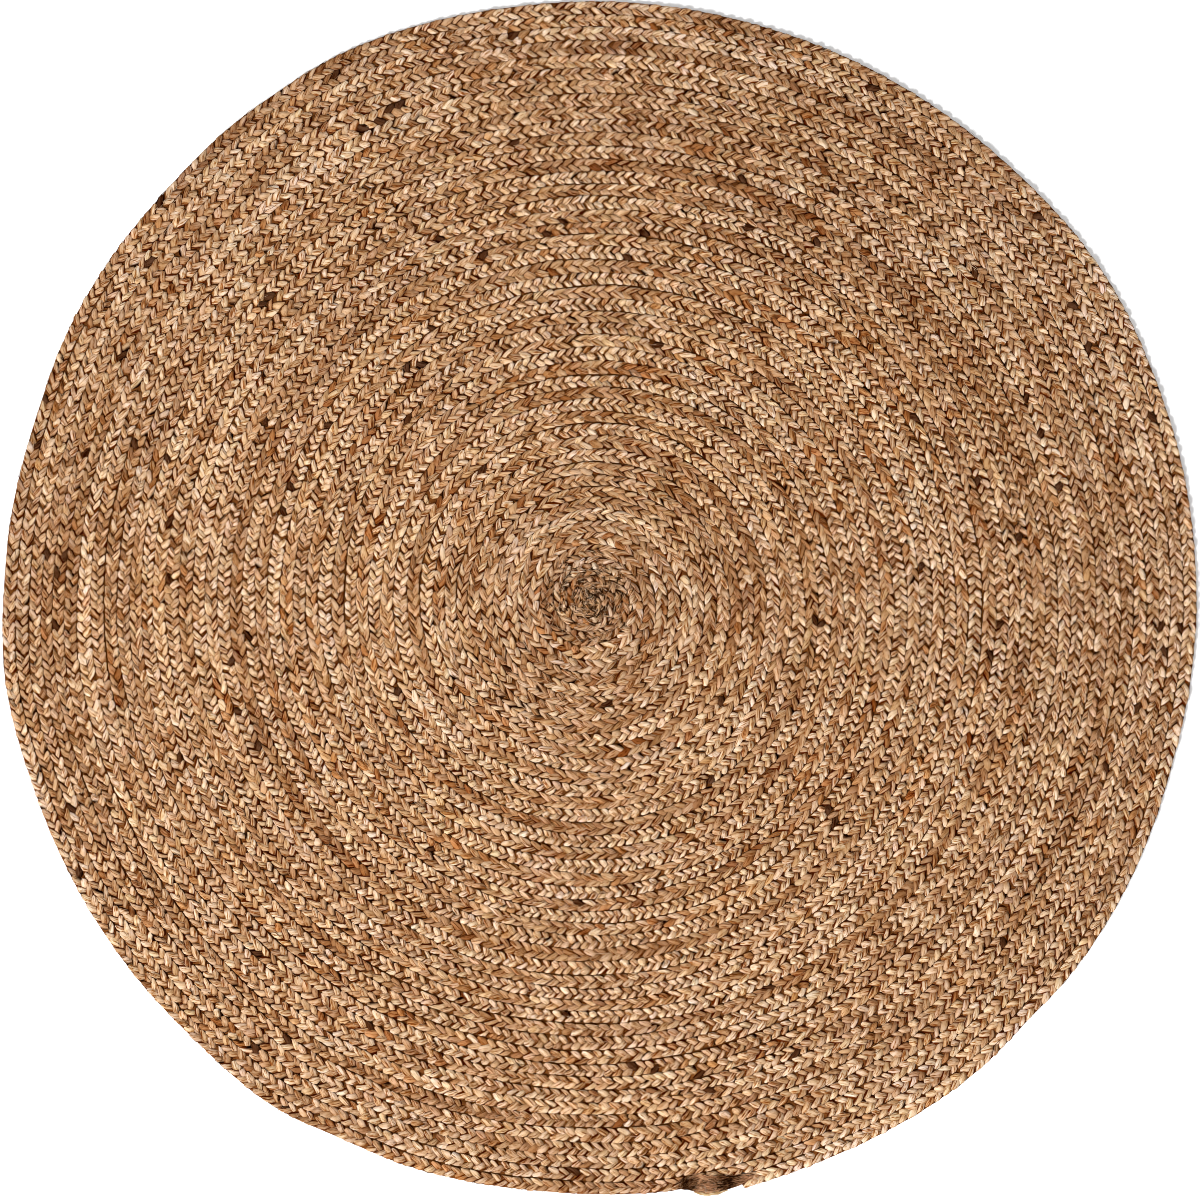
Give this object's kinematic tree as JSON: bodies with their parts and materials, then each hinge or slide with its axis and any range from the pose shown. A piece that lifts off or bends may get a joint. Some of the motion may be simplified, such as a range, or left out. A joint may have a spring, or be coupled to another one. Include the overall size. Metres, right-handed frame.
{
  "type": "round braided jute rug",
  "caption": "Flat round rug coiled clockwise from a pale and a brown jute braid sewn side by side, with a dark bound end at the rim.",
  "frame": {"origin": "on the floor under the middle of the rug's bounding box", "axes": "+Z up through the rug's thickness, +X to the right and +Y up as one looks down on it with the bound end at the lower right"},
  "size_m": [1.4964, 1.4964, 0.011],
  "materials": {
    "pale_jute": "greyish tan three-strand jute braid, tight, coarse and matt",
    "brown_jute": "golden to reddish brown three-strand jute braid, looser, coarse and matt",
    "binding_twine": "dark brown jute twine, frayed and matt"
  },
  "bodies": {
    "root": {"braid_pale": "pale_jute", "braid_brown": "brown_jute", "end_binding": "binding_twine"}
  },
  "joints": []
}
